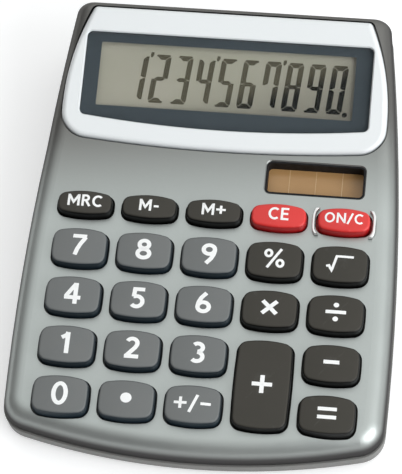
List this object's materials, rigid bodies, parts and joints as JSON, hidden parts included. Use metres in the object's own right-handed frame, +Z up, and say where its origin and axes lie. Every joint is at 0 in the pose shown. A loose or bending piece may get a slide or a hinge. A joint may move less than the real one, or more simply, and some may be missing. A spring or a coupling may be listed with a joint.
{
  "type": "desktop calculator",
  "caption": "Compact desktop calculator: wedge body with a raised display window, a small solar window, sprung keys in rows, two red keys and a sliding battery door underneath.",
  "frame": {"origin": "middle of the footprint on the desk surface, under the feet", "axes": "+Z up, +Y from the user's side towards the display, +X to the user's right"},
  "size_m": [0.1074, 0.1369, 0.0343],
  "materials": {
    "silver_paint": "satin",
    "lower_plastic": "fine texture",
    "white_plastic": "semi gloss",
    "window": "polished",
    "panel_glass": "polished",
    "panel_film": "satin",
    "tape": "matte",
    "ribbon": "satin",
    "solar": "polished",
    "board": "satin",
    "epoxy": "gloss",
    "steel": "plain",
    "copper": "tinned",
    "silicone": "matte",
    "foot_rubber": "matte",
    "digit_key": "satin",
    "function_key": "satin",
    "red_key": "satin",
    "lead_black": "satin",
    "lead_red": "satin",
    "surround": "satin",
    "sleeve": "gloss"
  },
  "bodies": {
    "housing": {"top_housing": "silver_paint", "bottom_housing": "lower_plastic", "display_bezel": "white_plastic", "display_lens": "window", "lens_tape": "tape", "lcd_front_film": "panel_film", "lcd_front_glass": "panel_glass", "lcd_rear_glass": "panel_glass", "lcd_reflector": "panel_film", "lcd_bracket": "lower_plastic", "bracket_screws": "steel", "lcd_ribbon": "ribbon", "solar_surround": "surround", "solar_pad": "tape", "solar_cell": "solar", "solar_links": "copper", "key_mat": "silicone", "main_board": "board", "board_screws": "steel", "chip_cover": "epoxy", "capacitor": "sleeve", "resistors": "epoxy", "battery_cell": "steel", "contact_negative": "steel", "contact_positive": "steel", "lead_negative": "lead_black", "lead_positive": "lead_red", "rubber_feet": "foot_rubber", "housing_screws": "steel"},
    "battery_door": {"battery_door": "lower_plastic"},
    "key_0": {"key_0": "digit_key"},
    "key_point": {"key_point": "digit_key"},
    "key_sign": {"key_sign": "digit_key"},
    "key_1": {"key_1": "digit_key"},
    "key_2": {"key_2": "digit_key"},
    "key_3": {"key_3": "digit_key"},
    "key_4": {"key_4": "digit_key"},
    "key_5": {"key_5": "digit_key"},
    "key_6": {"key_6": "digit_key"},
    "key_7": {"key_7": "digit_key"},
    "key_8": {"key_8": "digit_key"},
    "key_9": {"key_9": "digit_key"},
    "key_plus": {"key_plus": "function_key"},
    "key_times": {"key_times": "function_key"},
    "key_percent": {"key_percent": "function_key"},
    "key_equals": {"key_equals": "function_key"},
    "key_minus": {"key_minus": "function_key"},
    "key_divide": {"key_divide": "function_key"},
    "key_root": {"key_root": "function_key"},
    "key_memory_recall": {"key_memory_recall": "function_key"},
    "key_memory_minus": {"key_memory_minus": "function_key"},
    "key_memory_plus": {"key_memory_plus": "function_key"},
    "key_clear_entry": {"key_clear_entry": "red_key"},
    "key_on": {"key_on": "red_key"}
  },
  "joints": [
    {"name": "key_0_press", "type": "slide", "parent": "housing", "child": "key_0", "axis": [0, 0.1045, -0.9945], "range_m": [0, 0.0016], "stiffness_N_per_m": 350, "springref_m": -0.0005, "deforming": ["key_mat"]},
    {"name": "key_point_press", "type": "slide", "parent": "housing", "child": "key_point", "axis": [0, 0.1045, -0.9945], "range_m": [0, 0.0016], "stiffness_N_per_m": 350, "springref_m": -0.0005, "deforming": ["key_mat"]},
    {"name": "key_sign_press", "type": "slide", "parent": "housing", "child": "key_sign", "axis": [0, 0.1045, -0.9945], "range_m": [0, 0.0016], "stiffness_N_per_m": 350, "springref_m": -0.0005, "deforming": ["key_mat"]},
    {"name": "key_1_press", "type": "slide", "parent": "housing", "child": "key_1", "axis": [0, 0.1045, -0.9945], "range_m": [0, 0.0016], "stiffness_N_per_m": 350, "springref_m": -0.0005, "deforming": ["key_mat"]},
    {"name": "key_2_press", "type": "slide", "parent": "housing", "child": "key_2", "axis": [0, 0.1045, -0.9945], "range_m": [0, 0.0016], "stiffness_N_per_m": 350, "springref_m": -0.0005, "deforming": ["key_mat"]},
    {"name": "key_3_press", "type": "slide", "parent": "housing", "child": "key_3", "axis": [0, 0.1045, -0.9945], "range_m": [0, 0.0016], "stiffness_N_per_m": 350, "springref_m": -0.0005, "deforming": ["key_mat"]},
    {"name": "key_4_press", "type": "slide", "parent": "housing", "child": "key_4", "axis": [0, 0.1045, -0.9945], "range_m": [0, 0.0016], "stiffness_N_per_m": 350, "springref_m": -0.0005, "deforming": ["key_mat"]},
    {"name": "key_5_press", "type": "slide", "parent": "housing", "child": "key_5", "axis": [0, 0.1045, -0.9945], "range_m": [0, 0.0016], "stiffness_N_per_m": 350, "springref_m": -0.0005, "deforming": ["key_mat"]},
    {"name": "key_6_press", "type": "slide", "parent": "housing", "child": "key_6", "axis": [0, 0.1045, -0.9945], "range_m": [0, 0.0016], "stiffness_N_per_m": 350, "springref_m": -0.0005, "deforming": ["key_mat"]},
    {"name": "key_7_press", "type": "slide", "parent": "housing", "child": "key_7", "axis": [0, 0.1045, -0.9945], "range_m": [0, 0.0016], "stiffness_N_per_m": 350, "springref_m": -0.0005, "deforming": ["key_mat"]},
    {"name": "key_8_press", "type": "slide", "parent": "housing", "child": "key_8", "axis": [0, 0.1045, -0.9945], "range_m": [0, 0.0016], "stiffness_N_per_m": 350, "springref_m": -0.0005, "deforming": ["key_mat"]},
    {"name": "key_9_press", "type": "slide", "parent": "housing", "child": "key_9", "axis": [0, 0.1045, -0.9945], "range_m": [0, 0.0016], "stiffness_N_per_m": 350, "springref_m": -0.0005, "deforming": ["key_mat"]},
    {"name": "key_plus_press", "type": "slide", "parent": "housing", "child": "key_plus", "axis": [0, 0.1045, -0.9945], "range_m": [0, 0.0016], "stiffness_N_per_m": 350, "springref_m": -0.0005, "deforming": ["key_mat"]},
    {"name": "key_times_press", "type": "slide", "parent": "housing", "child": "key_times", "axis": [0, 0.1045, -0.9945], "range_m": [0, 0.0016], "stiffness_N_per_m": 350, "springref_m": -0.0005, "deforming": ["key_mat"]},
    {"name": "key_percent_press", "type": "slide", "parent": "housing", "child": "key_percent", "axis": [0, 0.1045, -0.9945], "range_m": [0, 0.0016], "stiffness_N_per_m": 350, "springref_m": -0.0005, "deforming": ["key_mat"]},
    {"name": "key_equals_press", "type": "slide", "parent": "housing", "child": "key_equals", "axis": [0, 0.1045, -0.9945], "range_m": [0, 0.0016], "stiffness_N_per_m": 350, "springref_m": -0.0005, "deforming": ["key_mat"]},
    {"name": "key_minus_press", "type": "slide", "parent": "housing", "child": "key_minus", "axis": [0, 0.1045, -0.9945], "range_m": [0, 0.0016], "stiffness_N_per_m": 350, "springref_m": -0.0005, "deforming": ["key_mat"]},
    {"name": "key_divide_press", "type": "slide", "parent": "housing", "child": "key_divide", "axis": [0, 0.1045, -0.9945], "range_m": [0, 0.0016], "stiffness_N_per_m": 350, "springref_m": -0.0005, "deforming": ["key_mat"]},
    {"name": "key_root_press", "type": "slide", "parent": "housing", "child": "key_root", "axis": [0, 0.1045, -0.9945], "range_m": [0, 0.0016], "stiffness_N_per_m": 350, "springref_m": -0.0005, "deforming": ["key_mat"]},
    {"name": "key_memory_recall_press", "type": "slide", "parent": "housing", "child": "key_memory_recall", "axis": [0, 0.1045, -0.9945], "range_m": [0, 0.0016], "stiffness_N_per_m": 350, "springref_m": -0.0005, "deforming": ["key_mat"]},
    {"name": "key_memory_minus_press", "type": "slide", "parent": "housing", "child": "key_memory_minus", "axis": [0, 0.1045, -0.9945], "range_m": [0, 0.0016], "stiffness_N_per_m": 350, "springref_m": -0.0005, "deforming": ["key_mat"]},
    {"name": "key_memory_plus_press", "type": "slide", "parent": "housing", "child": "key_memory_plus", "axis": [0, 0.1045, -0.9945], "range_m": [0, 0.0016], "stiffness_N_per_m": 350, "springref_m": -0.0005, "deforming": ["key_mat"]},
    {"name": "key_clear_entry_press", "type": "slide", "parent": "housing", "child": "key_clear_entry", "axis": [0, 0.1045, -0.9945], "range_m": [0, 0.0016], "stiffness_N_per_m": 350, "springref_m": -0.0005, "deforming": ["key_mat"]},
    {"name": "key_on_press", "type": "slide", "parent": "housing", "child": "key_on", "axis": [0, 0.1045, -0.9945], "range_m": [0, 0.0016], "stiffness_N_per_m": 350, "springref_m": -0.0005, "deforming": ["key_mat"]},
    {"name": "battery_door_slide", "type": "slide", "parent": "housing", "child": "battery_door", "axis": [0, 1, 0], "range_m": [0, 0.012]}
  ]
}
